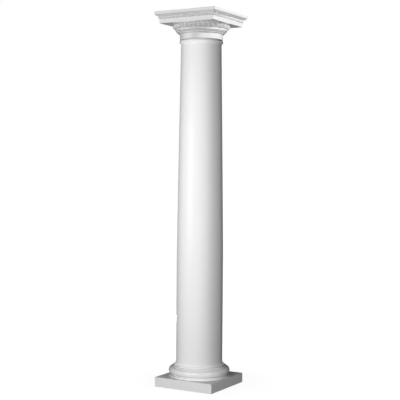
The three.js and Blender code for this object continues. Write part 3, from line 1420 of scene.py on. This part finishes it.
@dataclass(frozen=True)
class Studio:
    """The floor, pale to the camera by a painted glow, the dim surroundings and the softboxes.

    Attributes:
        floor_half: half of the floor's side.
        floor_glow: how bright the floor looks by itself, near the plinth and far away. This is
            painted light, a glow shown to the camera that is dimmer near the plinth.
        floor_reach: distance from the axis at which the floor is as bright as far away.
        floor_colour: colour of the floor under the lights.
        ambient: brightness of the surroundings that light the column.
        softboxes: the lights.
    """

    softboxes: tuple[Softbox, ...]
    floor_half: float = 30.0
    floor_glow: tuple[float, float] = (0.9, 1.05)
    floor_reach: float = 1.2
    floor_colour: float = 0.13
    ambient: float = 0.02

    def build(self) -> None:
        """Lay the floor, set the surroundings and hang the lights."""
        self._floor()
        self._surroundings()
        for softbox in self.softboxes:
            softbox.light()

    def _floor(self) -> None:
        """Lay the floor under the plinth, which a painted glow makes pale to the camera."""
        half = self.floor_half
        corners = [(-half, -half, 0), (half, -half, 0), (half, half, 0), (-half, half, 0)]
        mesh = bpy.data.meshes.new("floor")
        mesh.from_pydata(corners, [], [(0, 1, 2, 3)])
        floor = bpy.data.objects.new("floor", mesh)
        bpy.context.scene.collection.objects.link(floor)
        material = bpy.data.materials.new("floor_with_painted_glow")
        material.use_nodes = True
        standard = material.node_tree.nodes
        standard.remove(standard["Principled BSDF"])
        nodes = Nodes(material.node_tree)
        colour = (*(self.floor_colour,) * 3, 1.0)
        matt = nodes.node("ShaderNodeBsdfDiffuse", {"Color": colour}).outputs[0]
        place = nodes.node("ShaderNodeTexCoord").outputs["Object"]
        # Painted light: the floor glows to the camera, dimmer near the plinth and brighter far
        # away.
        away = nodes.node("ShaderNodeVectorMath", {0: place}, operation="LENGTH")
        near, far = self.floor_glow
        fading = {"Value": away.outputs["Value"], "To Min": near, "To Max": far}
        fade = nodes.node("ShaderNodeMapRange", fading | {"From Max": self.floor_reach})
        glow = nodes.node("ShaderNodeEmission", {"Strength": fade.outputs["Result"]})
        bright = nodes.node("ShaderNodeAddShader", {0: matt, 1: glow.outputs[0]})
        surface = standard["Material Output"].inputs["Surface"]
        self._show(nodes, matt, bright.outputs[0], surface)
        mesh.materials.append(material)

    def _surroundings(self) -> None:
        """Set a white ground behind the column and a dim light from all sides."""
        world = bpy.data.worlds.new("studio")
        world.use_nodes = True
        bpy.context.scene.world = world
        standard = world.node_tree.nodes
        nodes = Nodes(world.node_tree)
        white = (1.0, 1.0, 1.0, 1.0)
        dim = standard["Background"]
        nodes.feed(dim.inputs["Color"], white)
        nodes.feed(dim.inputs["Strength"], self.ambient)
        bright = nodes.node("ShaderNodeBackground", {"Color": white, "Strength": 1.0})
        surface = standard["World Output"].inputs["Surface"]
        self._show(nodes, dim.outputs[0], bright.outputs[0], surface)

    @staticmethod
    def _show(
        nodes: Nodes,
        usual: bpy.types.NodeSocket,
        shown: bpy.types.NodeSocket,
        surface: bpy.types.NodeSocket,
    ) -> None:
        """Show one shader to the camera and another to all other rays.

        Args:
            nodes: the tree of both shaders.
            usual: the shader for all other rays.
            shown: the shader for the camera.
            surface: the output's socket.
        """
        camera = nodes.node("ShaderNodeLightPath").outputs["Is Camera Ray"]
        seen = nodes.node("ShaderNodeMixShader", {0: camera, 1: usual, 2: shown})
        nodes.feed(surface, seen.outputs[0])


@dataclass(frozen=True)
class Camera:
    """The camera at the picture's viewing angle.

    Attributes:
        azimuth: where it stands, in degrees from -Y towards +X.
        distance: distance from the column's axis.
        height: height above the floor.
        pitch: how far it looks down, in degrees.
        yaw: how far it looks to the right of the axis, in degrees.
        roll: how far the column leans to the right in the picture, in degrees.
        focal_pixels: focal length in pixels of the picture.
        picture: side of the square picture in pixels.
    """

    azimuth: float = 30.0
    distance: float = 6.422
    height: float = 1.418
    pitch: float = 1.771
    yaw: float = -0.017
    roll: float = 0.391
    focal_pixels: float = 976.7
    picture: int = 400

    def build(self) -> None:
        """Stand the camera and make it the scene's own."""
        data = bpy.data.cameras.new("camera")
        data.lens = data.sensor_width * self.focal_pixels / self.picture
        made = bpy.data.objects.new("camera", data)
        bpy.context.scene.collection.objects.link(made)
        bpy.context.scene.camera = made
        stand = Matrix.Rotation(math.radians(self.azimuth), 4, "Z")
        move = Matrix.Translation((0.0, -self.distance, self.height))
        turn = Matrix.Rotation(math.radians(-self.yaw), 4, "Z")
        tilt = Matrix.Rotation(math.radians(90.0 - self.pitch), 4, "X")
        lean = Matrix.Rotation(math.radians(self.roll), 4, "Z")
        made.matrix_world = stand @ move @ turn @ tilt @ lean


MOULDED_PAINT = PaintFinish(
    name="white_moulding",
    colour=(0.86, 0.86, 0.86),
    shade=(0.8, 0.8, 0.79),
    roughness=0.13,
    shine=0.45,
    dullness=0.03,
    mottle=0.2,
    mottle_scale=6.0,
    peel_scale=260.0,
    peel_depth=0.000006,
    grain_depth=0.0,
)
SHAFT_PAINT = PaintFinish(
    name="white_shaft",
    colour=(0.86, 0.86, 0.86),
    shade=(0.82, 0.82, 0.815),
    roughness=0.32,
    shine=0.25,
    dullness=0.04,
    mottle=0.2,
    mottle_scale=4.0,
    peel_scale=200.0,
    peel_depth=0.000006,
    grain_depth=0.0,
)
PLINTH_PAINT = PaintFinish(
    name="white_plinth",
    colour=(0.78, 0.78, 0.78),
    shade=(0.7, 0.7, 0.69),
    roughness=0.45,
    shine=0.3,
    dullness=0.12,
    mottle=0.5,
    mottle_scale=60.0,
    peel_scale=300.0,
    peel_depth=0.00005,
    grain_depth=0.0004,
)

BASE_PIECES = ("floor", "square_plinth", "torus_base")
SHAFT_PIECES = ("shaft_front_half_shell", "shaft_back_half_shell")
CAPITAL_PIECES = ("carved_capital",)
SOFTBOXES = (
    Softbox("base_front", 12.0, 17.0, 0.1, 2.0, 0.5, 41.0, BASE_PIECES),
    Softbox("base_right", 65.0, 18.0, 0.1, 0.9, 0.9, 9.5, BASE_PIECES),
    Softbox("base_left_gleam", -14.0, 8.0, 0.1, 0.35, 0.35, 23.0, BASE_PIECES),
    Softbox("base_right_gleam", 65.0, 8.0, 0.1, 0.35, 0.35, 9.5, BASE_PIECES),
    Softbox("shaft_wide", 30.0, 0.0, 1.2, 2.5, 3.0, 53.4, SHAFT_PIECES),
    Softbox("shaft_key", -24.0, 0.0, 1.475, 0.9, 1.27, 31.2, SHAFT_PIECES),
    Softbox("shaft_gleam", -24.0, 0.0, 1.6, 0.3, 1.0, 8.4, SHAFT_PIECES),
    Softbox("shaft_left", -6.0, 0.0, 1.475, 0.9, 1.27, 13.9, SHAFT_PIECES),
    Softbox("shaft_fill", 62.0, 0.0, 1.475, 0.9, 1.27, 9.6, SHAFT_PIECES),
    Softbox("shaft_edge", -60.0, 0.0, 1.475, 0.9, 1.27, 5.5, SHAFT_PIECES),
    Softbox("capital_low", 15.0, -12.0, 2.35, 1.6, 1.6, 16.0, CAPITAL_PIECES),
    Softbox("capital_left", -35.0, 5.0, 2.35, 1.6, 1.6, 25.0, CAPITAL_PIECES),
    Softbox("capital_edge", -60.0, 5.0, 2.35, 1.6, 1.6, 16.7, CAPITAL_PIECES),
    Softbox("capital_front", 40.0, -10.0, 2.35, 1.6, 1.6, 24.1, CAPITAL_PIECES),
    Softbox("capital_right", 100.0, 22.0, 2.35, 0.5, 0.5, 79.0, CAPITAL_PIECES),
    Softbox("back", 210.0, 10.0, 1.2, 2.5, 3.0, 6.0, SHAFT_PIECES + CAPITAL_PIECES),
    Softbox("base_back", 225.0, 0.0, 0.06, 1.2, 0.2, 50.0, BASE_PIECES, gloss=False),
    Softbox("shaft_back", 208.0, 0.0, 1.3, 0.9, 1.6, 48.0, SHAFT_PIECES, gloss=False),
    Softbox("capital_back", 225.0, -5.0, 2.35, 1.2, 1.2, 50.0, CAPITAL_PIECES, gloss=False),
)


def main() -> None:
    """Build the column from the floor up, then the studio and the camera."""
    logging.basicConfig(level=logging.INFO, format="%(name)s: %(message)s")
    shop = PaintShop()
    paints = {
        Finish.PLINTH: shop.mix(PLINTH_PAINT),
        Finish.MOULDING: shop.mix(MOULDED_PAINT),
        Finish.SHAFT: shop.mix(SHAFT_PAINT),
    }
    tools = Workshop(Turner(), RingRow(), SquareRow(), paints)
    pieces = [Plinth().build(tools), BaseMoulding().build(tools)]
    pieces += [Shaft().build(tools, shell) for shell in Shell]
    pieces.append(Capital(EggRow(), BeadRow(), LeafRow()).build(tools))
    for made in pieces:
        triangles = sum(len(face.vertices) - 2 for face in made.data.polygons)
        LOG.info("%s is built, with %d triangles", made.name, triangles)
    Studio(SOFTBOXES).build()
    Camera().build()
    bpy.context.scene.view_settings.view_transform = "Standard"


if __name__ == "__main__":
    main()
